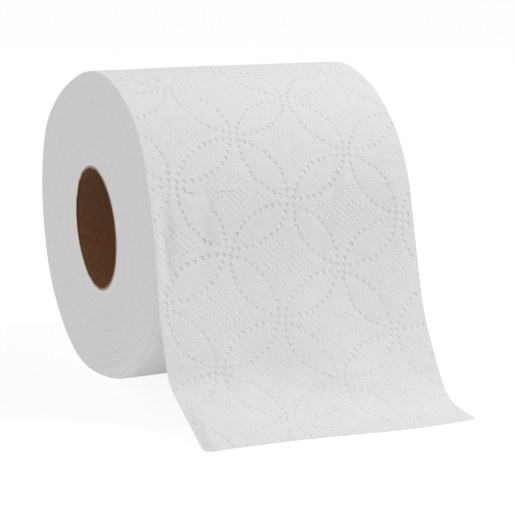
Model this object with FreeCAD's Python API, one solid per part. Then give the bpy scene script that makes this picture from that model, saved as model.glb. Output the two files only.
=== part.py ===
import FreeCAD, Part
import math
import os

# A soft roll of embossed two-ply bathroom tissue on its cardboard core.
# It lies on its side with the loose end of the web hanging down in front.
# X runs along the core, Y to the back and Z up. The origin is the centre of the core's bore.
# The front of the roll faces -Y, and all lengths are in millimetres.

# The roll and its core
sheet_width = 101.6
roll_diameter = 114.3
core_bore = 41.0
core_wall = 0.7

# The web: one turn as wound tight, and the loose tail with its embossing sprung back
wound_thickness = 0.25
tail_thickness = 0.5

# The small flat spot that the soft roll rests on
flat_spot_width = 16.0

# The turns as they show on both ends: bands that lie deeper than their neighbours,
# at a coarser pitch than the real paper
turn_groove_count = 4
turn_groove_pitch = 7.5
turn_groove_width = 3.5
turn_groove_depth = 0.35
turn_groove_margin = 2.5

# How each edge of the tail lies. Angles are in degrees. It leaves the roll at leave_angle
# above the front, bends at bend_height above the floor to lean by lower_lean from
# upright, and flares at knee_height into a foot that reaches the floor foot_reach further on.
left_edge = {
    "leave_angle": 11.0,
    "bend_height": 41.0,
    "bend_radius": 60.0,
    "lower_lean": 14.0,
    "knee_height": 16.0,
    "knee_radius": 7.0,
    "foot_reach": 29.5,
}
right_edge = {
    "leave_angle": 16.0,
    "bend_height": 31.0,
    "bend_radius": 40.0,
    "lower_lean": 33.0,
    "knee_height": 3.2,
    "knee_radius": 10.0,
    "foot_reach": 18.0,
}

# Sizes worked out from those above
roll_radius = roll_diameter / 2
core_radius = core_bore / 2 + core_wall
end_x = sheet_width / 2
lower_radius = roll_radius - wound_thickness / 2
lower_centre = wound_thickness / 2
floor_z = -math.sqrt(lower_radius ** 2 - (flat_spot_width / 2) ** 2)
shared_angle = 2 * max(left_edge["leave_angle"], right_edge["leave_angle"])


def point(x, y, z):
    return FreeCAD.Vector(x, y, z)


def on_circle(x, radius, angle, centre_y=0.0):
    # The angle is measured in degrees from the front, over the top of the roll
    turn = math.radians(angle)
    return point(x, centre_y - radius * math.cos(turn), radius * math.sin(turn))


def line(start, end):
    return Part.LineSegment(start, end).toShape()


def arc_on_circle(x, radius, start, end, centre_y=0.0):
    middle = (start + end) / 2
    ends = [on_circle(x, radius, angle, centre_y) for angle in (start, middle, end)]
    return Part.Arc(*ends).toShape()


def tail_corners(x, edge):
    # The underside of one edge of the tail, from where it leaves the roll to its toe
    inner_radius = roll_radius - tail_thickness
    start = on_circle(x, inner_radius, edge["leave_angle"])
    bend_z = floor_z + edge["bend_height"]
    knee_z = floor_z + edge["knee_height"]
    bend_y = start.y - (start.z - bend_z) * math.tan(math.radians(edge["leave_angle"]))
    knee_y = bend_y - (bend_z - knee_z) * math.tan(math.radians(edge["lower_lean"]))
    return [
        start,
        point(x, bend_y, bend_z),
        point(x, knee_y, knee_z),
        point(x, knee_y - edge["foot_reach"], floor_z),
    ]


def outward(start, end):
    # The unit normal of a leg of the tail, on the side away from the roll
    along = (end - start).normalize()
    return point(0, along.z, -along.y)


def shifted(corners, distance):
    # The same path moved outwards by a distance, with its corners mitred
    normals = [outward(a, b) for a, b in zip(corners, corners[1:])]
    moved = [corners[0] + normals[0] * distance]
    for corner, before, after in zip(corners[1:], normals, normals[1:]):
        both = before + after
        moved.append(corner + both * (2 * distance / both.dot(both)))
    moved.append(corners[-1] + normals[-1] * distance)
    return moved


def rounded_path(corners, radii):
    # Straight legs joined by tangent arcs
    edges = []
    start = corners[0]
    for before, corner, after, radius in zip(corners, corners[1:], corners[2:], radii):
        back = (before - corner).normalize()
        on = (after - corner).normalize()
        turn = math.pi - back.getAngle(on)
        reach = radius * math.tan(turn / 2)
        inward = (back + on).normalize()
        to_arc = radius / math.cos(turn / 2) - radius
        edges.append(line(start, corner + back * reach))
        start = corner + on * reach
        edges.append(Part.Arc(corner + back * reach, corner + inward * to_arc, start).toShape())
    edges.append(line(start, corners[-1]))
    return edges


def crevice(x, edge):
    # Where the tail's underside parts from the turn below it
    leave = math.radians(edge["leave_angle"])
    start = on_circle(x, roll_radius - tail_thickness, edge["leave_angle"])
    down = point(0, -math.sin(leave), -math.cos(leave))
    from_centre = start - point(x, lower_centre, 0)
    half = from_centre.dot(down)
    run = -half + math.sqrt(half ** 2 - from_centre.dot(from_centre) + lower_radius ** 2)
    return start + down * run


def web_outline(x, edge):
    # One closed outline of the wound web and its tail. The upper half turn is centred on
    # the core, and the lower half turn is smaller by half the web's thickness.
    under = tail_corners(x, edge)
    outer = shifted(under, tail_thickness)
    parting = crevice(x, edge)
    parting_angle = math.degrees(math.atan2(parting.z, lower_centre - parting.y))
    radii = [edge["bend_radius"], edge["knee_radius"]]
    outer_radii = [radius - tail_thickness for radius in radii]
    edges = [arc_on_circle(x, roll_radius, edge["leave_angle"], shared_angle)]
    edges.append(arc_on_circle(x, roll_radius, shared_angle, 180))
    edges.append(arc_on_circle(x, lower_radius, 180, 360, lower_centre))
    edges.append(arc_on_circle(x, lower_radius, 360, 360 + parting_angle, lower_centre))
    edges += rounded_path([parting] + under[1:], radii)
    edges.append(line(under[-1], outer[-1]))
    edges += reversed(rounded_path(outer, outer_radii))
    return edges


def wall_between(left, right):
    # A straight wall where both ends have the same edge, and otherwise a ruled one
    across = point(sheet_width, 0, 0)
    pairs = zip(left.Vertexes, right.Vertexes)
    apart = max((a.Point + across - b.Point).Length for a, b in pairs)
    if apart < Part.Precision.confusion():
        return left.extrude(across)
    return Part.makeRuledSurface(left, right)


def lofted_web():
    # The two end outlines joined by walls, edge to edge
    left = web_outline(-end_x, left_edge)
    right = web_outline(end_x, right_edge)
    walls = [wall_between(a, b) for a, b in zip(left, right)]
    ends = [Part.Face(Part.Wire(Part.__sortEdges__(outline))) for outline in (left, right)]
    shell = Part.makeShell(walls + ends)
    shell.sewShape()
    solid = Part.makeSolid(Part.Shell(shell.Faces))
    if solid.Volume < 0:
        solid.reverse()
    return solid


def flat_spot_cut():
    # Everything of the roll that would lie below the surface it rests on
    width = 2 * flat_spot_width
    depth = lower_radius
    corner = point(-sheet_width, lower_centre - width / 2, floor_z - depth)
    return Part.makeBox(2 * sheet_width, width, depth, corner)


def turn_groove(x, direction):
    # A spiral of half circles that alternate between two centres
    step = turn_groove_pitch / 2
    start_radius = roll_radius - turn_groove_margin
    outer_side = []
    inner_side = []
    for half_turn in range(2 * turn_groove_count):
        radius = start_radius - half_turn * step
        centre_y = step * (half_turn % 2)
        start = 180 * half_turn
        inner_radius = radius - turn_groove_width
        outer_side.append(arc_on_circle(x, radius, start, start + 180, centre_y))
        inner_side.append(arc_on_circle(x, inner_radius, start, start + 180, centre_y))
    last_radius = start_radius - 2 * turn_groove_count * step
    starts = [on_circle(x, start_radius - gap, 0) for gap in (0, turn_groove_width)]
    lasts = [on_circle(x, last_radius - gap, 0) for gap in (0, turn_groove_width)]
    edges = outer_side + inner_side + [line(*starts), line(*lasts)]
    face = Part.Face(Part.Wire(Part.__sortEdges__(edges)))
    return face.extrude(point(direction * turn_groove_depth, 0, 0))


def make_tissue_web():
    # The wound turns and the tail are one length of paper, so they are one solid
    start = point(-sheet_width, 0, 0)
    core_space = Part.makeCylinder(core_radius, 2 * sheet_width, start, point(1, 0, 0))
    web = lofted_web().cut([core_space, flat_spot_cut()])
    return web.cut([turn_groove(-end_x, 1), turn_groove(end_x, -1)])


def make_cardboard_core():
    # A plain tube, cut to the same length as the web that is wound on it
    start = point(-end_x, 0, 0)
    tube = Part.makeCylinder(core_radius, sheet_width, start, point(1, 0, 0))
    bore = Part.makeCylinder(core_bore / 2, sheet_width, start, point(1, 0, 0))
    return tube.cut(bore)


pieces = {
    "tissue_web": make_tissue_web,
    "cardboard_core": make_cardboard_core,
}

os.makedirs("parts", exist_ok=True)
for name, make in pieces.items():
    shape = make()
    solid = shape.Solids[0]
    box = solid.BoundBox
    print(name, "solids", len(shape.Solids), "valid", solid.isValid(), "volume", round(solid.Volume))
    print("  from", [round(v, 3) for v in (box.XMin, box.YMin, box.ZMin)])
    print("  to", [round(v, 3) for v in (box.XMax, box.YMax, box.ZMax)])
    solid.exportStep("parts/" + name + ".step")
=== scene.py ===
import bpy
import math
import numpy as np
from mathutils import Matrix, Vector


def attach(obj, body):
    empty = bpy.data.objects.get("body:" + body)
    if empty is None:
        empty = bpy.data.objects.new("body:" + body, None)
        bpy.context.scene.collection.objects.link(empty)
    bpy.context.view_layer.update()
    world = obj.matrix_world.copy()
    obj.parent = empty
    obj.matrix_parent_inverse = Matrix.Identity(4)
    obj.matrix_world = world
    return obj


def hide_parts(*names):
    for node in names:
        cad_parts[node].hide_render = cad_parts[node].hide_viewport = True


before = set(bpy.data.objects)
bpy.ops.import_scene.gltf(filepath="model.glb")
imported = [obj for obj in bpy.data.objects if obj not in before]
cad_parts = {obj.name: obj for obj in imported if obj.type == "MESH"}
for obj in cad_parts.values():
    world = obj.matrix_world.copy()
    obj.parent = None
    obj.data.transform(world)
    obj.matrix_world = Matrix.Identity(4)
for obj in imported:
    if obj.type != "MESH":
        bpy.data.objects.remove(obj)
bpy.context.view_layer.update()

# A soft roll of embossed two-ply bathroom tissue on its cardboard core, with its loose tail
# hanging down in front. Lengths are in metres, in the frame of the CAD model: X along the
# core, Y to the back, Z up. A place on the paper is given by (u, s): u is X across the web,
# and s is the length along the paper from the top of the roll, positive down its front.

MM = 0.001

# The roll, its core and its paper
ROLL_RADIUS = 57.15 * MM
CORE_OUTER = 21.2 * MM
CORE_WALL = 0.7 * MM
END_X = 50.8 * MM
FLOOR_Z = -56.461 * MM
WOUND_PITCH = 0.25 * MM
WOUND_THICKNESS = 0.20 * MM
TAIL_THICKNESS = 0.32 * MM
EDGE_THICKNESS = 0.10 * MM

# A sheet as wound under tension, and the loose one, which has sprung back
SHEET_LENGTH = 101.6 * MM
LOOSE_LENGTH = 97.0 * MM

# The perforations run slightly askew: s grows by this share of u
SKEW = 0.02
FIRST_PERFORATION = 69.0 * MM

# The core was squeezed a little at its left end, and a quarter as much at its right
SQUEEZE = 0.0994
SQUEEZE_RIGHT = 0.25
SQUEEZE_AXIS = math.radians(63.8)
HOLE_SHIFT = (-0.63 * MM, -0.66 * MM)

# The embossing: rings of dots on a square lattice, each with a diamond of pin dots inside
LATTICE_PITCH = 30.73 * MM
LATTICE_TURN = math.radians(11.5)
RING_CENTRE = (5.0 * MM, 52.3 * MM)
RING_RADIUS = 20.46 * MM
RING_DOTS = 48
DOT_REACH = 0.98 * MM
DOT_DEPTH = 0.14 * MM
PIN_PITCH = 1.845 * MM
PIN_ANGLE = math.radians(37.2)
PIN_ROWS = 8
PIN_REACH = 0.62 * MM
PIN_DEPTH = 0.13 * MM
PAD_HEIGHT = 0.095 * MM
PAD_REACH = 2.8 * MM

# A dot's bottom is flat up to this share of its reach
DOT_BOTTOM = 0.12

# The perforations: short slits with uncut ties between them
SLIT_PERIOD = 3.2 * MM
SLIT_SHARE = 0.72
SLIT_GAP = 0.03 * MM


# Sums on values that change from place to place

class Field:
    """The output of a node, on which sums are written as plain expressions."""

    def __init__(self, nodes, socket):
        self.nodes = nodes
        self.socket = socket

    def math(self, operation, *others):
        inputs = dict(enumerate((self,) + others))
        return self.nodes.add("ShaderNodeMath", {"operation": operation}, inputs)

    def __add__(self, other):
        return self.math("ADD", other)

    __radd__ = __add__

    def __sub__(self, other):
        return self.math("SUBTRACT", other)

    def __rsub__(self, other):
        return self.nodes.add("ShaderNodeMath", {"operation": "SUBTRACT"}, {0: other, 1: self})

    def __mul__(self, other):
        return self.math("MULTIPLY", other)

    __rmul__ = __mul__

    def __truediv__(self, other):
        return self.math("DIVIDE", other)

    def __abs__(self):
        return self.math("ABSOLUTE")

    def below(self, limit):
        return self.math("LESS_THAN", limit)

    def rise(self, start, end):
        """0 up to start and 1 from end on, with a smooth way between them."""
        settings = {"interpolation_type": "SMOOTHSTEP", "clamp": True}
        inputs = {"Value": self, "From Min": start, "From Max": end, "To Min": 0.0, "To Max": 1.0}
        return self.nodes.add("ShaderNodeMapRange", settings, inputs)


class Nodes:
    """One node tree, to which any node is added by its type, its settings and its inputs."""

    def __init__(self, tree):
        self.tree = tree

    def add(self, kind, settings=None, inputs=None, output=0):
        node = self.tree.nodes.new(kind)
        for name, value in (settings or {}).items():
            setattr(node, name, value)
        for name, value in (inputs or {}).items():
            self.feed(node.inputs[name], value)
        return Field(self, node.outputs[output]) if node.outputs else node

    def feed(self, socket, value):
        if isinstance(value, Field):
            self.tree.links.new(value.socket, socket)
        else:
            socket.default_value = value

    def other(self, field, name):
        """Another output of the node that a field comes from."""
        return Field(self, field.socket.node.outputs[name])

    def parts(self, vector):
        split = self.add("ShaderNodeSeparateXYZ", None, {0: vector})
        return [self.other(split, name) for name in "XYZ"]


def nearest(first, second):
    return first.math("MINIMUM", second)


def length_of(first, second):
    return (first * first + second * second).math("SQRT")


# The embossed pattern, written once for the mesh and for the material

def ring_dots(across, along, radius):
    """How far a place is from the nearest dot of a ring, and from the ring's own line."""
    step = 2 * math.pi / RING_DOTS
    reach = length_of(across, along)
    turn = along.math("ARCTAN2", across)
    off_dot = turn.math("MODULO", step) - step / 2
    off_line = reach - radius
    return length_of(off_line, off_dot * radius), abs(off_line)


def pattern(u, s, pitch=LATTICE_PITCH, radius=RING_RADIUS, pin_pitch=PIN_PITCH):
    """How far a place on the paper is from a ring dot, from a ring line and from a pin dot."""
    right = u - RING_CENTRE[0]
    up = RING_CENTRE[1] - s
    row = right * math.cos(LATTICE_TURN) - up * math.sin(LATTICE_TURN)
    column = right * math.sin(LATTICE_TURN) + up * math.cos(LATTICE_TURN)
    half = math.sqrt(0.5)
    a = (row + column) * half
    b = (column - row) * half
    a = a - (a / pitch).math("ROUND") * pitch
    b = b - (b / pitch).math("ROUND") * pitch
    far = abs(a).math("MAXIMUM", abs(b))
    near = abs(a).math("MINIMUM", abs(b))
    own_dot, own_line = ring_dots(far, near, radius)
    next_dot, next_line = ring_dots(pitch - far, near, radius)
    row = (a - b) * half
    column = (a + b) * half
    i = (row / math.cos(PIN_ANGLE) + column / math.sin(PIN_ANGLE)) / (pin_pitch * 2.0)
    j = (row / math.cos(PIN_ANGLE) - column / math.sin(PIN_ANGLE)) / (pin_pitch * 2.0)
    off_i = i - i.math("FLOOR") - 0.5
    off_j = j - j.math("FLOOR") - 0.5
    slant = 2 * math.cos(2 * PIN_ANGLE)
    apart = (off_i * off_i + off_j * off_j + off_i * off_j * slant).math("SQRT") * pin_pitch
    in_diamond = abs(i).math("MAXIMUM", abs(j)).below(PIN_ROWS / 2)
    pin = apart + (1 - in_diamond)
    return nearest(own_dot, next_dot), nearest(own_line, next_line), pin


def dent(distance, reach):
    """1 in the middle of a dot, falling to 0 at its reach."""
    return 1 - distance.rise(reach * DOT_BOTTOM, reach)


def pad(line, reach):
    """0 on a ring's line, rising to 1 in the pads between the rings."""
    off = line / reach
    return 1 - (off * off * -1.0).math("EXPONENT")


def slit(u):
    """1 along a slit of the perforation and 0 at a tie."""
    # Counted from far to the left, so that the share of a period is taken of a number above 0
    return (u / SLIT_PERIOD + 100.0).math("FRACT").below(SLIT_SHARE)


# Where the paper lies

def smooth(value, start, end):
    """0 up to start and 1 from end on, with a smooth way between them."""
    t = np.clip((value - start) / (end - start), 0.0, 1.0)
    return t * t * (3 - 2 * t)


def bell(value, middle, half):
    """1 in the middle, falling to 0 a few half widths away."""
    return np.exp(-((value - middle) / half) ** 2)


def uneven(u, v, seed, shortest, longest):
    """A smooth unevenness of waves between two lengths, as much above 0 as below it."""
    waves = 16
    rng = np.random.default_rng(seed)
    height = np.zeros_like(u)
    for _ in range(waves):
        span = rng.uniform(shortest, longest)
        turn, start = rng.uniform(0, 2 * math.pi, 2)
        along = u * math.cos(turn) + v * math.sin(turn)
        height += np.sin(2 * math.pi * along / span + start)
    return height / math.sqrt(waves / 2)


# Each edge of the tail: the lean from upright, in degrees, at lengths along the paper in mm,
# from where it leaves the roll to its toe, and how far in front of the core the toe is
LEFT_LEAN = {
    79.0: 11.0, 96.0: 11.5, 106.0: 15.0, 124.0: 17.0, 129.0: 22.0, 132.0: 38.0, 135.5: 56.0,
    141.0: 62.0, 156.0: 64.0, 161.0: 68.0, 165.0: 74.0,
}
RIGHT_LEAN = {
    74.0: 14.5, 98.0: 15.0, 108.0: 18.0, 115.0: 20.0, 121.0: 25.0, 130.0: 25.5, 139.0: 26.5,
    144.0: 33.0, 148.0: 51.0, 152.0: 73.0, 155.0: 81.5, 158.0: 85.0, 161.0: 87.0, 167.0: 87.0,
}
LEFT_TOE = -97.0 * MM
RIGHT_TOE = -101.3 * MM
TOE_HEIGHT = 0.16 * MM

# The first place where the paper leaves the roll, and how finely its edges are worked out
LEAVE = 74.0 * MM
EDGE_STEPS = 900
EDGE_SMOOTHING = 41
WOUND_START = -330 * MM
WOUND_STEPS = 1600

# The toe bows forwards between its corners
BOW_REACH = 3.9 * MM
BOW_PLACE = 27.0 * MM
BOW_HALF = 32.0 * MM

# The roll's rims: how far in from each end they are rounded, and how far they drop below
# the roll's surface, more where the roll is pressed and where its ends slump
END_ROUNDING = 3.6 * MM
RIM_DROP = 0.03 * MM
PRESSED_DROP = 1.22 * MM
SLUMPED_DROP = 1.2 * MM

# How far in the end faces lie there, and how far in from the rim they begin to
PRESSED_DEPTH = 0.95 * MM
PRESSED_REACH = 3.4 * MM
SLUMP_DEPTH = 2.5 * MM
SLUMP_REACH = 8.0 * MM
SLUMP_POWER = 1.3
SLUMP_PLACE = math.radians(332)
SLUMP_HALF = math.radians(24)

# The soft roll isn't quite round: bulges and hollows by the angle over the top from the
# front and half their width, in degrees, and height in mm, at the left end and the right
LEFT_OUT_OF_ROUND = [
    (112, 14, -0.9),
    (150, 16, 2.2),
    (196, 20, -1.5),
    (228, 14, -0.5),
    (256, 12, 0.35),
]
RIGHT_OUT_OF_ROUND = [(75, 50, -0.3), (86, 7, 0.4)]


def over_at(s):
    """The angle over the top from the front, at a length along the wound web."""
    return math.pi / 2 - s / ROLL_RADIUS


def on_roll(s):
    """A point of the wound web, which winds in by its own thickness a turn."""
    over = over_at(s)
    radius = ROLL_RADIUS - WOUND_PITCH * smooth(over, math.pi, 2 * math.pi)
    return -radius * np.cos(over), radius * np.sin(over)


def edge_path(leans, toe):
    """One edge of the web as lengths along the paper, Y and Z."""
    stations = np.array(sorted(leans)) * MM
    lean = np.radians([leans[key] for key in sorted(leans)])
    leave = stations[0]
    s = np.linspace(leave, stations[-1], EDGE_STEPS)
    lean = np.interp(s, stations, lean)
    kernel = np.hanning(EDGE_SMOOTHING)
    half = EDGE_SMOOTHING // 2
    padded = np.r_[np.full(half, lean[0]), lean, np.full(half, lean[-1])]
    lean = np.convolve(padded, kernel / kernel.sum(), "valid")
    step = s[1] - s[0]
    start_y, start_z = on_roll(leave)
    y = start_y - np.r_[0, np.cumsum(np.sin(lean[1:]) * step)]
    z = start_z - np.r_[0, np.cumsum(np.cos(lean[1:]) * step)]
    share = (s - leave) / (s[-1] - leave)
    y += (toe - y[-1]) * share
    z += (FLOOR_Z + TOE_HEIGHT - z[-1]) * share
    wound = np.linspace(WOUND_START, leave, WOUND_STEPS)[:-1]
    wound_y, wound_z = on_roll(wound)
    return np.r_[wound, s], np.r_[wound_y, y], np.r_[wound_z, z]


left_path = edge_path(LEFT_LEAN, LEFT_TOE)
right_path = edge_path(RIGHT_LEAN, RIGHT_TOE)

# Folds of the loose paper: place (u, s) and half size (across, along) in mm, turn in degrees,
# and height in mm, below 0 for a valley
FOLDS = [
    (-46.4, 83.0, 1.9, 12.0, 3.0, -0.65),
    (-50.8, 88.0, 3.2, 20.0, 0.0, 0.7),
    (-41.0, 88.0, 4.5, 17.0, 4.0, 0.4),
    (-32.5, 74.0, 2.6, 11.0, 6.0, -0.38),
    (-28.0, 82.0, 3.0, 14.0, 8.0, 0.4),
    (12.5, 86.0, 3.0, 9.0, 12.0, -0.35),
    (18.5, 70.0, 2.4, 8.0, 10.0, -0.35),
    (44.0, 78.0, 4.0, 16.0, -6.0, 0.4),
    (-2.0, 112.0, 9.0, 12.0, 20.0, 0.5),
    (26.0, 118.0, 10.0, 10.0, -15.0, -0.6),
    (-28.0, 128.0, 8.0, 5.0, 60.0, 0.5),
    (5.0, 141.0, 14.0, 5.0, 5.0, -0.7),
    (38.0, 148.0, 9.0, 5.0, -10.0, 0.8),
    (-50.8, 157.0, 2.7, 14.0, 0.0, -1.1),
]
WAVE_HEIGHT = 0.28
CRINKLE_HEIGHT = 0.09


def folds(u, s):
    """Height of the soft folds and waves of the loose paper."""
    height = np.zeros_like(u)
    for at_u, at_s, wide, tall, turn, high in FOLDS:
        angle = math.radians(turn)
        du = u / MM - at_u
        ds = s / MM - at_s
        across = (du * math.cos(angle) + ds * math.sin(angle)) / wide
        along = (ds * math.cos(angle) - du * math.sin(angle)) / tall
        height += high * np.exp(-across * across - along * along)
    loose = smooth(s, 60 * MM, 110 * MM) * (1 - 0.9 * smooth(s, 148 * MM, 164 * MM))
    waves = np.sin(u / (9.1 * MM) + s / (31 * MM)) * np.sin(s / (12.7 * MM) - u / (40 * MM) + 1.0)
    height += WAVE_HEIGHT * waves * loose
    # Fine crinkles where the left edge was bent as the sheet left the roll
    bent = bell(u, -45 * MM, 9 * MM) * bell(s, 86 * MM, 17 * MM)
    height += CRINKLE_HEIGHT * uneven(u, s, 4, 3 * MM, 9 * MM) * bent
    return height * MM


def left_overhang(s):
    """How far the loose left edge stands out past the end of the roll."""
    over = 1.7 * bell(s, 70 * MM, 20 * MM) + 1.3 * bell(s, 105 * MM, 25 * MM)
    return (over - 0.7 * bell(s, 153 * MM, 12 * MM)) * MM


def right_overhang(s):
    """The same for the right edge: the loose sheet has grown wider."""
    return 0.5 * smooth(s, 115 * MM, 140 * MM) * MM


def pressed_at(over):
    """How much the roll's rim is pressed in, by the angle over the top from the front."""
    return smooth(over, math.radians(248), math.radians(290))


def slumped_at(over):
    """How much further the ends are rounded low in front, behind the tail."""
    off = (over - SLUMP_PLACE + math.pi) % (2 * math.pi) - math.pi
    return bell(off, 0, SLUMP_HALF)


def rim_drop(pressed, slumped):
    """How far the roll's rim lies below its surface."""
    return RIM_DROP + PRESSED_DROP * pressed + SLUMPED_DROP * slumped


def near_rim(distance, reach):
    """1 at the rim of an end face, falling to 0 at its reach."""
    return np.clip(1 - distance / reach, 0, 1)


def out_of_round(over, x):
    """How far the roll's surface is from its circle, by the angle over the top from the front."""
    left = smooth(-x, 0, END_X)
    right = smooth(x, -30 * MM, END_X)
    height = np.zeros_like(over + x)
    for share, bulges in ((left, LEFT_OUT_OF_ROUND), (right, RIGHT_OUT_OF_ROUND)):
        for place, half, high in bulges:
            height = height + share * high * bell(np.degrees(over), place, half)
    return height * MM


def paper(u, s):
    """Points of the outer face of the web, before its embossing."""
    share = (u + END_X) / (2 * END_X)
    y = (1 - share) * np.interp(s, left_path[0], left_path[1])
    y = y + share * np.interp(s, right_path[0], right_path[1])
    z = (1 - share) * np.interp(s, left_path[0], left_path[2])
    z = z + share * np.interp(s, right_path[0], right_path[2])
    y = y - BOW_REACH * bell(u, BOW_PLACE, BOW_HALF) * smooth(s, 120 * MM, 160 * MM)
    x = u - left_overhang(s) * smooth(-u, 28 * MM, END_X)
    x = x + right_overhang(s) * smooth(u, 0, END_X)
    # The ends of the roll are rounded where it was pressed, most of all underneath
    over = over_at(s)
    pressed = pressed_at(over)
    slumped = slumped_at(over)
    edge = near_rim(END_X - np.abs(u), END_ROUNDING * (1 + slumped)) ** 2
    edge = edge * (1 - smooth(s, 30 * MM, 60 * MM))
    x = x - np.sign(u) * edge * (PRESSED_DEPTH * pressed + SLUMP_DEPTH * slumped)
    drop = edge * rim_drop(pressed, slumped)
    drop = drop - out_of_round(over, u) * (1 - smooth(s, 60 * MM, LEAVE))
    # What is wound drops towards the core, and the loose paper doesn't drop
    centre_y = np.where(s < LEAVE, 0.0, y)
    centre_z = np.where(s < LEAVE, 0.0, z)
    reach = np.maximum(np.hypot(y - centre_y, z - centre_z), 1e-6)
    y = y - (y - centre_y) / reach * drop
    z = z - (z - centre_z) / reach * drop
    return np.stack([x, y, z], -1)


def rest_on_floor(points, clear=0.0):
    """The roll is soft, so it spreads where it meets the floor."""
    soft = 0.25 * MM
    near = 3 * MM
    low = points[..., 2] - FLOOR_Z - clear
    lifted = 0.5 * (low + np.sqrt(low * low + soft * soft))
    points[..., 2] = np.where(low < near, np.maximum(low, lifted), low) + FLOOR_Z + clear
    return points


def round_toe(u, v):
    """The two corners of the loose end are worn round."""
    radius = 1.8 * MM
    fade = 5 * MM
    past = np.maximum(np.abs(u) - (END_X - radius), 0)
    cut = radius - np.sqrt(np.maximum(radius * radius - past * past, 0))
    toe = FIRST_PERFORATION + LOOSE_LENGTH
    return v - cut * smooth(v, toe - fade, toe)


# How the pattern lies on the paper, as shares of length: shorter on the loose sheet than on
# the wound web, wider than it was pressed, and a little askew
LOOSE_SHORTER = 0.055
WOUND_SHORTER = 0.013
WIDER = 0.014
LOOSE_WIDER = 0.009
LOOSE_ASKEW = 0.036
WOUND_ASKEW = 0.03
WOUND_SLANT = 0.012

# Small shifts of it where the paper is bent, and a drift that changes from place to place
SHIFT_LOOSE = 0.25 * MM
SHIFT_LEFT_LOW = 1.4 * MM
SHIFT_LEFT_HIGH = 1.2 * MM
SHIFT_FOOT = 1.3 * MM
SHIFT_DOWN = 0.9 * MM
DRIFT = 0.17 * MM


def embossed_at(u, v):
    """The place in the pressed pattern that lies at (u, v) on the paper."""
    loose = np.maximum(v - 76 * MM, 0)
    wound = np.maximum(84 * MM - v, 0)
    higher = np.clip(62 * MM - v, 0, 62 * MM)
    wider = WIDER + LOOSE_WIDER * bell(v, 108 * MM, 20 * MM)
    flat_u = u * (1 - wider) - LOOSE_ASKEW * loose - WOUND_ASKEW * higher
    flat_u = flat_u + SHIFT_LOOSE * smooth(v, 80 * MM, 100 * MM)
    flat_u = flat_u - SHIFT_LEFT_LOW * smooth(-u, 38 * MM, 48 * MM) * bell(v, 112 * MM, 9 * MM)
    flat_u = flat_u - SHIFT_LEFT_HIGH * smooth(-u, 32 * MM, 46 * MM) * bell(v, 77 * MM, 9 * MM)
    flat_u = flat_u + SHIFT_FOOT * smooth(u, 0, 28 * MM) * smooth(v, 146 * MM, 158 * MM)
    flat_v = v + LOOSE_SHORTER * loose - WOUND_SHORTER * wound
    flat_v = flat_v + WOUND_SLANT * u * (1 - smooth(v, 70 * MM, 95 * MM))
    middle = smooth(v, 88 * MM, 106 * MM) * (1 - smooth(v, 126 * MM, 148 * MM))
    flat_v = flat_v - SHIFT_DOWN * middle
    drift_u = uneven(u, v, 1, 5 * MM, 14 * MM) * DRIFT
    drift_v = uneven(u, v, 2, 5 * MM, 14 * MM) * DRIFT
    return flat_u + drift_u, flat_v + drift_v


# How much of the embossing shows: least where the roll's weight pressed it flat, at the rims
# and on the wound sheets, and most where the loose sheet was bent
SHOWS_UNDERNEATH = 0.55
SHOWS_ON_FLOOR = 0.25
SHOWS_AT_RIM = 0.3
SHOWS_WOUND = 0.78
MORE_LOOSE = 0.58
LESS_AT_FOOT = 0.12
MORE_WHERE_BENT = 0.42
LESS_ON_RIGHT = 0.12


def lift_at(u, v, height, from_edge):
    """How strongly the embossing shows, by place, height above the floor and distance in."""
    s = v + SKEW * u
    under = smooth(over_at(s), math.radians(185), math.radians(225))
    lift = 1 - (1 - SHOWS_UNDERNEATH) * under
    lift = lift * (SHOWS_ON_FLOOR + (1 - SHOWS_ON_FLOOR) * smooth(height, 0, 2 * MM))
    lift = np.where(s > 90 * MM, 1.0, lift)
    lift = lift * (SHOWS_AT_RIM + (1 - SHOWS_AT_RIM) * smooth(from_edge, 0, 1.0 * MM))
    lift = lift * np.clip(0.90 + 0.16 * uneven(u, v, 3, 4 * MM, 13 * MM), 0.5, 1.4)
    loose = MORE_LOOSE * bell(s, 80 * MM, 34 * MM)
    foot = LESS_AT_FOOT * smooth(s, 112 * MM, 140 * MM)
    lift = lift * (SHOWS_WOUND + loose - foot)
    lift = lift * (1 + MORE_WHERE_BENT * bell(u, -38 * MM, 12 * MM) * bell(s, 90 * MM, 15 * MM))
    return lift * (1 - LESS_ON_RIGHT * smooth(u, 10 * MM, 40 * MM))


def outward_of(u, s):
    """The outer face's normal, from the same surface at nearby places."""
    near = 0.05 * MM
    along = paper(u, s + near) - paper(u, s - near)
    across = paper(u + near, s) - paper(u - near, s)
    normal = np.cross(along, across)
    return normal / np.linalg.norm(normal, axis=-1, keepdims=True)


# Meshes

def new_piece(name, points, faces, layers=None):
    """An object at the origin from points and faces, with its attributes."""
    mesh = bpy.data.meshes.new(name)
    mesh.from_pydata(points.reshape(-1, 3), [], faces)
    for layer, (kind, values) in (layers or {}).items():
        attribute = mesh.attributes.new(layer, kind, "POINT")
        field = "vector" if kind == "FLOAT_VECTOR" else "value"
        attribute.data.foreach_set(field, np.ascontiguousarray(values, "f").ravel())
    mesh.polygons.foreach_set("use_smooth", [True] * len(mesh.polygons))
    mesh.set_sharp_from_angle(angle=math.radians(50))
    mesh.update()
    piece = bpy.data.objects.new(name, mesh)
    bpy.context.scene.collection.objects.link(piece)
    return piece


def grid_faces(ids, outwards=True):
    """Quads between the points of a grid."""
    a = ids[:-1, :-1].ravel()
    b = ids[1:, :-1].ravel()
    c = ids[1:, 1:].ravel()
    d = ids[:-1, 1:].ravel()
    order = (a, b, c, d) if outwards else (a, d, c, b)
    return np.stack(order, -1).tolist()


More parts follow.
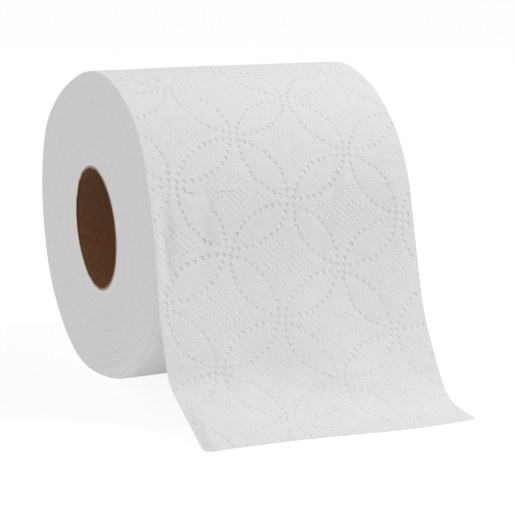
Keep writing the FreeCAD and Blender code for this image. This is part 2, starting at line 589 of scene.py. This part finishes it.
def rim_faces(outer, inner, forwards):
    """Five-sided faces between a fine outer edge and an inner one of half its points."""
    faces = []
    for k in range(len(inner) - 1):
        face = [outer[2 * k], inner[k], inner[k + 1], outer[2 * k + 2], outer[2 * k + 1]]
        faces.append(face if forwards else face[::-1])
    return faces


def numbered(grid, first=0):
    """A number for each point of a grid."""
    rows, columns = grid.shape[:2]
    return np.arange(first, first + rows * columns).reshape(rows, columns)


def in_rows(grid):
    """A grid of values or of vectors, with one row for each point."""
    return grid.reshape(grid.shape[0] * grid.shape[1], -1)


def sheet_mesh(name, start, length, spacing):
    """One sheet of the web as a thin closed skin, finer on its outer face."""
    columns = 2 * round(END_X / spacing)
    rows = 2 * round(length / spacing / 2)
    u_line = np.linspace(-END_X, END_X, columns + 1)
    v_line = np.linspace(start, start + length, rows + 1)
    u, v = np.meshgrid(u_line, v_line)
    v = round_toe(u, v)
    flat_u, flat_v = embossed_at(u, v)
    s = v + SKEW * u
    outward = outward_of(u, s)
    front = rest_on_floor(paper(u, s) + outward * folds(u, s)[..., None])
    thick = WOUND_THICKNESS + (TAIL_THICKNESS - WOUND_THICKNESS) * smooth(s, 60 * MM, 100 * MM)
    from_edge = np.minimum(END_X - np.abs(u), np.abs(FIRST_PERFORATION + LOOSE_LENGTH - v))
    thick = EDGE_THICKNESS + (thick - EDGE_THICKNESS) * smooth(from_edge, 0, 1.2 * MM)
    back = (front - outward * thick[..., None])[::2, ::2]
    back[..., 2] = np.maximum(back[..., 2], FLOOR_Z)
    front_ids = numbered(front)
    back_ids = numbered(back, front_ids.size)
    faces = grid_faces(front_ids) + grid_faces(back_ids, False)
    faces += rim_faces(front_ids[:, 0], back_ids[:, 0], True)
    faces += rim_faces(front_ids[:, -1], back_ids[:, -1], False)
    faces += rim_faces(front_ids[0], back_ids[0], False)
    faces += rim_faces(front_ids[-1], back_ids[-1], True)
    rim = np.zeros_like(u)
    rim[0] = 1
    rim[-1] = -1
    grids = {
        "flat": np.stack([flat_u, flat_v, np.zeros_like(u)], -1),
        "outward": outward,
        "along": np.cross(outward, np.array([-1.0, 0, 0])),
        "lift": lift_at(u, v, front[..., 2] - FLOOR_Z, from_edge),
        "rim": rim,
    }
    layers = {}
    for layer, grid in grids.items():
        kind = "FLOAT_VECTOR" if grid.ndim == 3 else "FLOAT"
        layers[layer] = (kind, np.r_[in_rows(grid), in_rows(grid[::2, ::2])])
    return new_piece(name, np.r_[in_rows(front), in_rows(back)], faces, layers)


# Trees that press the pattern into the paper and lay its turns on each other

def geometry_tree(name, sizes):
    """A tree with a mesh in and out and a named input for each size."""
    tree = bpy.data.node_groups.new(name, "GeometryNodeTree")
    tree.interface.new_socket("Geometry", in_out="INPUT", socket_type="NodeSocketGeometry")
    tree.interface.new_socket("Geometry", in_out="OUTPUT", socket_type="NodeSocketGeometry")
    tree.interface.new_socket("Material", in_out="INPUT", socket_type="NodeSocketMaterial")
    for size, value in sizes.items():
        socket = tree.interface.new_socket(size, in_out="INPUT", socket_type="NodeSocketFloat")
        socket.default_value = value
    nodes = Nodes(tree)
    given = nodes.add("NodeGroupInput")
    fields = {name: nodes.other(given, name) for name in ["Geometry", "Material", *sizes]}
    return nodes, fields


def named(nodes, name, kind="FLOAT"):
    """A value or a vector that the mesh carries, in a geometry tree."""
    return nodes.add("GeometryNodeInputNamedAttribute", {"data_type": kind}, {"Name": name})


def close_tree(nodes, mesh, material):
    """The end of every tree: real geometry with its material."""
    real = nodes.add("GeometryNodeRealizeInstances", None, {"Geometry": mesh})
    done = nodes.add("GeometryNodeSetMaterial", None, {"Geometry": real, "Material": material})
    nodes.add("NodeGroupOutput", None, {"Geometry": done})


def scaled(nodes, vector, amount):
    return nodes.add("ShaderNodeVectorMath", {"operation": "SCALE"}, {0: vector, "Scale": amount})


def total(nodes, first, second):
    return nodes.add("ShaderNodeVectorMath", {"operation": "ADD"}, {0: first, 1: second})


def emboss_tree():
    """Presses the rings, the pin dots and the perforation into a sheet."""
    nodes, given = geometry_tree("press_pattern", {
        "Lattice Pitch": LATTICE_PITCH,
        "Ring Radius": RING_RADIUS,
        "Dot Reach": DOT_REACH,
        "Dot Depth": DOT_DEPTH,
        "Pin Pitch": PIN_PITCH,
        "Pin Reach": PIN_REACH,
        "Pin Depth": PIN_DEPTH,
        "Pad Height": PAD_HEIGHT,
        "Pad Reach": PAD_REACH,
        "Slit Gap": SLIT_GAP,
    })
    u, s, _ = nodes.parts(named(nodes, "flat", "FLOAT_VECTOR"))
    dot, line, pin = pattern(u, s, given["Lattice Pitch"], given["Ring Radius"], given["Pin Pitch"])
    height = pad(line, given["Pad Reach"]) * given["Pad Height"]
    height = height - dent(dot, given["Dot Reach"]) * given["Dot Depth"]
    height = height - dent(pin, given["Pin Reach"]) * given["Pin Depth"]
    height = height * named(nodes, "lift")
    gap = named(nodes, "rim") * slit(u) * given["Slit Gap"] * 0.5
    outward = scaled(nodes, named(nodes, "outward", "FLOAT_VECTOR"), height)
    along = scaled(nodes, named(nodes, "along", "FLOAT_VECTOR"), gap)
    moved = nodes.add("GeometryNodeSetPosition", None, {
        "Geometry": given["Geometry"],
        "Offset": total(nodes, outward, along),
    })
    close_tree(nodes, moved, given["Material"])
    return nodes.tree


def socket_id(tree, name):
    for item in tree.interface.items_tree:
        if item.name == name and item.in_out == "INPUT":
            return item.identifier


def shaped_by(piece, tree, material):
    """Runs a tree on a piece and keeps the result as its plain mesh."""
    modifier = piece.modifiers.new(tree.name, "NODES")
    modifier.node_group = tree
    modifier[socket_id(tree, "Material")] = material
    bpy.context.view_layer.update()
    evaluated = piece.evaluated_get(bpy.context.evaluated_depsgraph_get())
    mesh = bpy.data.meshes.new_from_object(evaluated)
    plain = piece.data
    piece.modifiers.clear()
    piece.data = mesh
    mesh.name = piece.name
    bpy.data.meshes.remove(plain)
    return piece


def keep_above_floor(piece):
    """Lifts what the pattern has pressed through the floor."""
    mesh = piece.data
    points = np.empty(len(mesh.vertices) * 3, "f")
    mesh.vertices.foreach_get("co", points)
    points[2::3] = np.maximum(points[2::3], FLOOR_Z)
    mesh.vertices.foreach_set("co", points)
    mesh.update()


# Materials

def new_material(name):
    material = bpy.data.materials.new(name)
    material.use_nodes = True
    material.node_tree.nodes.clear()
    return material, Nodes(material.node_tree)


def finish(nodes, colour, roughness, normal, constants=None):
    settings = {"Base Color": colour, "Roughness": roughness, "Normal": normal}
    shader = nodes.add("ShaderNodeBsdfPrincipled", None, {**settings, **(constants or {})})
    nodes.add("ShaderNodeOutputMaterial", None, {"Surface": shader})


def mixed(nodes, factor, first, second):
    """A colour between two others."""
    settings = {"data_type": "RGBA", "clamp_factor": True}
    return nodes.add("ShaderNodeMix", settings, {0: factor, 6: first, 7: second}, output=2)


def noise(nodes, place, scale, detail=3.0, roughness=0.6):
    return nodes.add("ShaderNodeTexNoise", None, {
        "Vector": place, "Scale": scale, "Detail": detail, "Roughness": roughness,
    })


def stretched(nodes, place, scale, turn=(0, 0, 0)):
    return nodes.add("ShaderNodeMapping", None, {"Vector": place, "Scale": scale, "Rotation": turn})


def object_place(nodes):
    return nodes.add("ShaderNodeTexCoord", None, None, output="Object")


def carried(nodes, name, output="Fac"):
    """The same in a material."""
    return nodes.add("ShaderNodeAttribute", {"attribute_name": name}, None, output)


def bumped(nodes, height):
    """The normal of a surface with a height given in millimetres."""
    return nodes.add("ShaderNodeBump", None, {"Height": height, "Strength": 1.0, "Distance": MM})


PAPER_WHITE = (0.80, 0.80, 0.80, 1)
PAPER_SHADE = (0.70, 0.70, 0.702, 1)
# The loose sheet's colours, painted whiter for light that comes through it from behind
BACKLIT_WHITE = (0.85, 0.85, 0.85, 1)
BACKLIT_SHADE = (0.74, 0.74, 0.742, 1)


def tissue_material():
    """Soft creped paper, with its pattern pressed in finer than the mesh shows it."""
    material, nodes = new_material("embossed_tissue")
    flat = carried(nodes, "flat", "Vector")
    lift = carried(nodes, "lift")
    place = object_place(nodes)
    u, s, _ = nodes.parts(flat)
    dot, line, pin = pattern(u, s)
    pins = dent(pin, PIN_REACH)
    fibres = noise(nodes, flat, 2000.0, 4.0, 0.65)
    crepe = noise(nodes, stretched(nodes, flat, (900.0, 2600.0, 1.0)), 1.0, 2.0, 0.5)
    cloud = noise(nodes, place, 160.0, 3.0, 0.55)
    rim = carried(nodes, "rim")
    slits_showing = noise(nodes, stretched(nodes, flat, (130.0, 20.0, 1.0)), 1.0, 1.0).rise(0.42, 0.62)
    cut = abs(rim).rise(0.1, 0.8) * slit(u) * slits_showing
    crater = 1 - dot.rise(DOT_REACH * 0.46, DOT_REACH * 0.90)
    height = crater * -0.21 + pins * -0.08 - cut * 0.10
    grain = fibres * 0.26 + crepe * 0.10
    height = height * lift + grain * (s.rise(15 * MM, 60 * MM) * 0.3 + 0.7) + cloud * 0.05
    bump = bumped(nodes, height)
    # Painted shade: the colour is darker in the dots and along the open slits of the perforation;
    # the fibres and the cloud are the paper's own uneven tone
    shade = crater * 0.06 * lift + fibres * 0.30 + cloud * 0.25 + cut * 0.30 - 0.22
    # Painted light: the loose sheet is painted whiter than the wound ones, for the light that comes
    # through it from behind
    loose = s.rise(78 * MM, 112 * MM)
    white = mixed(nodes, loose, PAPER_WHITE, BACKLIT_WHITE)
    colour = mixed(nodes, shade, white, mixed(nodes, loose, PAPER_SHADE, BACKLIT_SHADE))
    finish(nodes, colour, 0.93, bump, {"Specular IOR Level": 0.25})
    return material


def wound_material():
    """The edges of hundreds of turns, cut clean, with fine rings that follow the winding."""
    material, nodes = new_material("wound_edges")
    place = object_place(nodes)
    x, y, z = nodes.parts(place)
    reach = length_of(y, z)
    turn = z.math("ARCTAN2", y)
    winding = reach + turn * (WOUND_PITCH / (2 * math.pi))
    around = {0: winding * 1000.0, 1: turn * 2.0, 2: x * 10.0}
    polar = nodes.add("ShaderNodeCombineXYZ", None, around)
    fine = noise(nodes, stretched(nodes, polar, (5.0, 1.6, 1.0)), 1.0, 2.0, 0.6)
    broad = noise(nodes, stretched(nodes, polar, (0.55, 0.45, 1.0)), 1.0, 3.0, 0.6)
    fluff = noise(nodes, place, 1400.0, 3.0, 0.6)
    height = fine * 0.05 + broad * 0.06 + fluff * 0.12
    bump = bumped(nodes, height)
    shade = fine * 0.5 + broad * 0.6 + fluff * 0.2 - 0.35
    colour = mixed(nodes, shade, (0.805, 0.805, 0.805, 1), (0.720, 0.720, 0.722, 1))
    finish(nodes, colour, 0.95, bump, {"Specular IOR Level": 0.2})
    return material


def board_material():
    """Brown recycled board wound in a spiral, paler and fuzzy where it was cut."""
    material, nodes = new_material("core_board")
    place = object_place(nodes)
    x, y, z = nodes.parts(place)
    turn = z.math("ARCTAN2", y)
    unrolled = nodes.add("ShaderNodeCombineXYZ", None, {0: x * 1000.0, 1: turn * 21.0, 2: 0.0})
    grain = stretched(nodes, unrolled, (1.9, 0.40, 1.0), (0, 0, math.radians(40)))
    streaks = noise(nodes, grain, 1.0, 4.0, 0.65)
    flecks = noise(nodes, place, 900.0, 4.0, 0.7)
    cut_edge = carried(nodes, "cut_edge")
    height = streaks * 0.14 + flecks * 0.12
    bump = bumped(nodes, height)
    # Painted light: the inside is painted paler low down and further in from the ends
    painted_light_low_deep = z * -13.0 + (x + END_X) * 14.0
    shade = streaks * 2.1 + flecks * 1.2 - 1.05 - painted_light_low_deep
    depth = nearest(x + END_X, END_X - x).rise(0, 25 * MM)
    painted_light_boost = depth * 0.75 + z * -12.0 + 0.1
    # The board's pale and dark tones, each with a brighter copy for the painted light
    pale = mixed(nodes, painted_light_boost, (0.268, 0.125, 0.058, 1), (0.405, 0.195, 0.088, 1))
    dark = mixed(nodes, painted_light_boost, (0.150, 0.067, 0.029, 1), (0.228, 0.104, 0.045, 1))
    inside = mixed(nodes, shade, pale, dark)
    # Darker in a thin band just inside the left rim, towards the back
    lip = (1 - x.rise(0.3 * MM - END_X, 0.8 * MM - END_X)) * y.rise(13 * MM, 19 * MM)
    inside = mixed(nodes, lip * 0.8, inside, (0.07, 0.028, 0.010, 1))
    cut = mixed(nodes, flecks * 1.6 - 0.3, (0.50, 0.34, 0.21, 1), (0.32, 0.19, 0.11, 1))
    colour = mixed(nodes, cut_edge, inside, cut)
    finish(nodes, colour, 0.85, bump, {"Specular IOR Level": 0.3})
    return material


# The wound roll and its core

def hole(angle, x, radius):
    """A point at an angle from the back, over the top, on the squeezed core."""
    left = smooth(-x, -END_X, END_X)
    squeeze = SQUEEZE * (SQUEEZE_RIGHT + (1 - SQUEEZE_RIGHT) * left)
    a = angle - SQUEEZE_AXIS
    major = radius * (1 + squeeze) * np.cos(a)
    minor = radius * (1 - squeeze) * np.sin(a)
    y = major * math.cos(SQUEEZE_AXIS) - minor * math.sin(SQUEEZE_AXIS)
    z = major * math.sin(SQUEEZE_AXIS) + minor * math.cos(SQUEEZE_AXIS)
    return y + HOLE_SHIFT[0] * left, z + HOLE_SHIFT[1] * left


def tube_faces(rings, across):
    """Quads of a closed loop of profiles, wrapped both ways."""
    ids = np.arange(rings * across).reshape(rings, across)
    ids = np.c_[ids, ids[:, :1]]
    ids = np.r_[ids, ids[:1]]
    return grid_faces(ids, False)


# The wound turns: how many points lie around them, across each end face and along them
TURNS_AROUND = 420
TURNS_ACROSS = 74
TURNS_ALONG = 20

# How deep they lie under the outer sheets, and how much deeper away from the ends
UNDER_SHEETS = 0.26 * MM
AWAY_FROM_ENDS = 0.15 * MM


def wound_radius(over):
    """The radius of the turns under the outer sheets, a turn deeper where the tail leaves."""
    leaves = math.radians(32)
    covered = smooth(over, math.radians(22), leaves)
    radius = ROLL_RADIUS - UNDER_SHEETS - WOUND_PITCH * smooth(over, math.pi, 2 * math.pi)
    return np.where(over < leaves, ROLL_RADIUS - UNDER_SHEETS - WOUND_PITCH * (1 - covered), radius)


def end_face(angle, over, x, inside):
    """Rings of points from the core out to the rim, and inside is the way into the roll."""
    pressed = pressed_at(over) * (1 - smooth(over, math.radians(352), math.radians(359)))
    slumped = slumped_at(over)
    core_y, core_z = hole(angle, np.full_like(angle, x), CORE_OUTER)
    drop = rim_drop(pressed, slumped) - (UNDER_SHEETS - EDGE_THICKNESS)
    reach = wound_radius(over) - drop + out_of_round(over, x)
    rings = []
    for share in np.linspace(0, 1, TURNS_ACROSS + 1):
        y = core_y * (1 - share) + reach * np.cos(angle) * share
        z = core_z * (1 - share) + reach * np.sin(angle) * share
        from_rim = reach - np.hypot(y, z)
        depth = near_rim(from_rim, PRESSED_REACH) ** 2 * PRESSED_DEPTH * pressed
        depth += near_rim(from_rim, SLUMP_REACH) ** SLUMP_POWER * SLUMP_DEPTH * slumped
        rings.append(np.stack([x + inside * depth, y, z], -1))
    return rings


def wound_turns_mesh():
    """The turns under the outer sheets, with an end face laid turn by turn."""
    angle = np.linspace(0, 2 * math.pi, TURNS_AROUND, endpoint=False)
    # From the front, over the top, as the paper's own angle
    over = (math.pi - angle) % (2 * math.pi)
    outside = []
    bore = []
    for along in np.linspace(-END_X, END_X, TURNS_ALONG + 1)[1:-1]:
        x = np.full_like(angle, along)
        reach = wound_radius(over) - AWAY_FROM_ENDS + out_of_round(over, along)
        outside.append(np.stack([x, reach * np.cos(angle), reach * np.sin(angle)], -1))
        bore.append(np.stack([x, *hole(angle, x, CORE_OUTER)], -1))
    left = end_face(angle, over, -END_X, 1)
    right = end_face(angle, over, END_X, -1)
    profile = left + outside + right[::-1] + bore[::-1]
    points = rest_on_floor(np.array(profile), 0.3 * MM)
    sides = [1.0] * len(left) + [0.0] * len(outside) + [-1.0] * len(right) + [0.0] * len(bore)
    radius = np.hypot(points[..., 1], points[..., 2]).ravel()
    end = np.repeat(np.array(sides), TURNS_AROUND)
    end = end * smooth(radius, CORE_OUTER, 26 * MM) * (1 - smooth(radius, 54 * MM, 57 * MM))
    faces = tube_faces(len(profile), TURNS_AROUND)
    return new_piece("wound_turns", points, faces, {"end": ("FLOAT", end)})


def along_winding(nodes, place):
    """Unevenness that changes only along the winding."""
    return nodes.add("ShaderNodeTexNoise", {"noise_dimensions": "1D"}, {"W": place, "Detail": 1.0})


def turns_tree():
    """Lays the edges of the turns a little deeper or prouder, along the winding."""
    nodes, given = geometry_tree("lay_turns", {
        "Turn Pitch": 0.9 * MM,
        "Turn Depth": 0.05 * MM,
        "Band Pitch": 6.5 * MM,
        "Band Depth": 0.11 * MM,
    })
    x, y, z = nodes.parts(nodes.add("GeometryNodeInputPosition"))
    reach = length_of(y, z)
    turn = z.math("ARCTAN2", y) / (2 * math.pi)
    fine = reach / given["Turn Pitch"] + turn
    broad = reach / given["Band Pitch"] + turn
    depth = along_winding(nodes, fine) * given["Turn Depth"]
    depth = depth + along_winding(nodes, broad) * given["Band Depth"]
    inwards = nodes.add("ShaderNodeCombineXYZ", None, {0: depth * named(nodes, "end")})
    moved = nodes.add("GeometryNodeSetPosition", None, {
        "Geometry": given["Geometry"],
        "Offset": inwards,
    })
    close_tree(nodes, moved, given["Material"])
    return nodes.tree


# The core: how many points lie around it, and how many rings inside and outside
CORE_AROUND = 300
CORE_INSIDE = 110
CORE_OUTSIDE = 11
HIDDEN_GAP = 0.02 * MM

# Its rims stand a little proud of the paper, uneven and with a notch that the knife left
RIM_PROUD = 0.12 * MM
RIM_WOBBLE = 0.07 * MM
RAGGED = 0.045 * MM
RAGGED_WAVES = range(3, 60)
RAGGED_POWER = 0.7
NOTCH_PLACE = math.radians(262)
NOTCH_HALF = math.radians(2.2)
NOTCH_DEPTH = 0.6 * MM
RIM_SHARES = (0.0, 0.15, 0.5, 0.85)

# The spiral seam inside: its length along the core a turn, its groove, and the step at it
SEAM_LEAD = 58 * MM
SEAM_DEPTH = 0.22 * MM
SEAM_HALF = 0.030
STEP_HEIGHT = 0.05 * MM
STEP_HALF = 0.05
STEP_REACH = 0.9


def core_mesh():
    """The tube, spiral seam inside, with a cut edge that the knife left uneven."""
    angle = np.linspace(0, 2 * math.pi, CORE_AROUND, endpoint=False)
    rng = np.random.default_rng(7)
    ragged = np.zeros((2, CORE_AROUND))
    for k in RAGGED_WAVES:
        phase = rng.uniform(0, 2 * math.pi, 2)
        ragged[0] += np.sin(k * angle + phase[0]) / k ** RAGGED_POWER
        ragged[1] += np.sin(k * angle + phase[1]) / k ** RAGGED_POWER
    ragged *= RAGGED
    wobble = uneven(angle * CORE_OUTER, 0 * angle, 5, 3 * MM, 9 * MM) * RIM_WOBBLE
    notch = bell(angle, NOTCH_PLACE, NOTCH_HALF) * NOTCH_DEPTH
    profile = []
    edge = []

    def ring(x, radius, on_edge, end):
        place = np.full_like(angle, x)
        if end == -1:
            place = place + np.abs(ragged[0]) + notch - RIM_PROUD
        if end == 1:
            place = place - np.abs(ragged[1]) + RIM_PROUD
        y, z = hole(angle, place, radius + wobble * (end != 0))
        profile.append(np.stack([place, y, z], -1))
        edge.append(on_edge)

    inner = CORE_OUTER - CORE_WALL
    for k in range(CORE_INSIDE + 1):
        x = -END_X + 2 * END_X * k / CORE_INSIDE
        end = int(k == CORE_INSIDE) - int(k == 0)
        seam = (angle - x * 2 * math.pi / SEAM_LEAD) % (2 * math.pi) - math.pi
        groove = SEAM_DEPTH * bell(seam, 0, SEAM_HALF)
        step = STEP_HEIGHT * np.tanh(seam / STEP_HALF) * bell(seam, 0, STEP_REACH)
        ring(x, inner + groove - step, 0.0, end)
    for share in RIM_SHARES:
        ring(END_X - HIDDEN_GAP * share, inner + CORE_WALL * (0.05 + 0.9 * share), 1.0, 1)
    for k in range(CORE_OUTSIDE + 1):
        x = END_X - 2 * END_X * k / CORE_OUTSIDE
        end = int(k == 0) - int(k == CORE_OUTSIDE)
        ring(x, CORE_OUTER - HIDDEN_GAP, 0.0, end)
    for share in reversed(RIM_SHARES):
        ring(-END_X, inner + CORE_WALL * (0.05 + 0.9 * share), 1.0, -1)
    cut_edge = np.repeat(np.array(edge), CORE_AROUND)
    faces = [face[::-1] for face in tube_faces(len(profile), CORE_AROUND)]
    return new_piece("core_tube", np.array(profile), faces, {"cut_edge": ("FLOAT", cut_edge)})


# The pieces

tissue = tissue_material()
press = emboss_tree()
lay = turns_tree()

# Each sheet of the outer turn: its first place on the web, its length and its mesh spacing
TUCKED_START = -290 * MM
SHEETS = {
    "tail_sheet": (FIRST_PERFORATION, LOOSE_LENGTH, 0.40 * MM),
    "front_sheet": (FIRST_PERFORATION - SHEET_LENGTH, SHEET_LENGTH, 0.42 * MM),
    "back_sheet": (FIRST_PERFORATION - 2 * SHEET_LENGTH, SHEET_LENGTH, 0.55 * MM),
    "under_sheet": (FIRST_PERFORATION - 3 * SHEET_LENGTH, SHEET_LENGTH, 0.55 * MM),
    "tucked_sheet": (TUCKED_START, FIRST_PERFORATION - 3 * SHEET_LENGTH - TUCKED_START, 0.55 * MM),
}


def make_sheet(name, start, length, spacing):
    piece = shaped_by(sheet_mesh(name, start, length, spacing), press, tissue)
    keep_above_floor(piece)
    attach(piece, "root")
    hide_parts("tissue_web")
    return piece


for name, (start, length, spacing) in SHEETS.items():
    piece = make_sheet(name, start, length, spacing)
    name == "tail_sheet"

turns = shaped_by(wound_turns_mesh(), lay, wound_material())
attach(turns, "root")
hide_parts("tissue_web")

core = core_mesh()
core.data.materials.append(board_material())
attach(core, "root")
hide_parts("cardboard_core")


# The studio

WHITE = (1, 1, 1, 1)
WORLD_LIGHT = 0.59
TABLE_LIGHT = 0.84
TABLE_SEEN = 0.80
SHADED_SHARE = 0.43


def seen_share(nodes):
    """1 for what the camera sees, also in a mirror or through glass, and 0 for light that falls."""
    ray = nodes.add("ShaderNodeLightPath", None, None, output="Is Camera Ray")
    seen = ray + nodes.other(ray, "Is Glossy Ray") + nodes.other(ray, "Is Transmission Ray")
    return seen.math("MINIMUM", 1.0)


def glowing(nodes, grey, strength):
    """A matt grey that also gives light of its own."""
    matt = nodes.add("ShaderNodeBsdfDiffuse", None, {"Color": (grey, grey, grey, 1)})
    light = nodes.add("ShaderNodeEmission", None, {"Color": WHITE, "Strength": strength})
    return nodes.add("ShaderNodeAddShader", None, {0: matt, 1: light})


def add_floor():
    side = 12.0
    points = np.array([(-side, -side, 0), (side, -side, 0), (side, side, 0), (-side, side, 0)])
    points[:, 2] = FLOOR_Z
    floor = new_piece("floor", points, [[0, 1, 2, 3]])
    material, nodes = new_material("floor_white")
    # Less light comes back from the part that lies in the shadow of the roll and its tail
    x, y, _ = nodes.parts(object_place(nodes))
    shaded = (1 - abs(x).rise(38 * MM, 58 * MM)) * (1 - abs(y + 32 * MM).rise(18 * MM, 44 * MM))
    strength = TABLE_LIGHT * (1 - shaded * SHADED_SHARE)
    shader = nodes.add("ShaderNodeMixShader", None, {
        0: seen_share(nodes),
        1: glowing(nodes, 0.08, strength),
        2: glowing(nodes, 0.30, TABLE_SEEN),
    })
    nodes.add("ShaderNodeOutputMaterial", None, {"Surface": shader})
    floor.data.materials.append(material)


def add_world():
    world = bpy.data.worlds.new("soft_studio")
    world.use_nodes = True
    world.node_tree.nodes.clear()
    nodes = Nodes(world.node_tree)
    strength = seen_share(nodes) * (1.0 - WORLD_LIGHT) + WORLD_LIGHT
    light = nodes.add("ShaderNodeBackground", None, {"Color": WHITE, "Strength": strength})
    nodes.add("ShaderNodeOutputWorld", None, {"Surface": light})
    bpy.context.scene.world = world


def add_lamp(name, place, aim, size, power):
    lamp = bpy.data.lights.new(name, "AREA")
    lamp.shape = "DISK"
    lamp.size = size
    lamp.energy = power
    holder = bpy.data.objects.new(name, lamp)
    bpy.context.scene.collection.objects.link(holder)
    way = Vector(aim) - Vector(place)
    holder.location = place
    holder.rotation_euler = way.to_track_quat("-Z", "Y").to_euler()


def add_camera():
    elevation = math.radians(13.158)
    azimuth = math.radians(-27.358)
    roll = math.radians(-1.3215)
    distance = 0.6519
    aside = 0.01462
    lower = 0.01589
    back = Vector((
        math.sin(azimuth) * math.cos(elevation),
        -math.cos(azimuth) * math.cos(elevation),
        math.sin(elevation),
    ))
    right = (-back).cross(Vector((0, 0, 1))).normalized()
    down = (-back).cross(right)
    turned_right = right * math.cos(roll) + down * math.sin(roll)
    turned_down = down * math.cos(roll) - right * math.sin(roll)
    place = back * distance + turned_right * aside + turned_down * lower
    camera = bpy.data.cameras.new("view")
    camera.sensor_width = 36.0
    camera.lens = 119.2
    camera.clip_start = 0.01
    holder = bpy.data.objects.new("view", camera)
    bpy.context.scene.collection.objects.link(holder)
    axes = Matrix((turned_right, -turned_down, back)).transposed().to_4x4()
    holder.matrix_world = Matrix.Translation(place) @ axes
    bpy.context.scene.camera = holder


add_floor()
add_world()
add_lamp("key", (0.50, -0.22, 0.70), (0, 0, 0), 0.30, 3.4)
add_camera()
bpy.context.scene.view_settings.view_transform = "Standard"
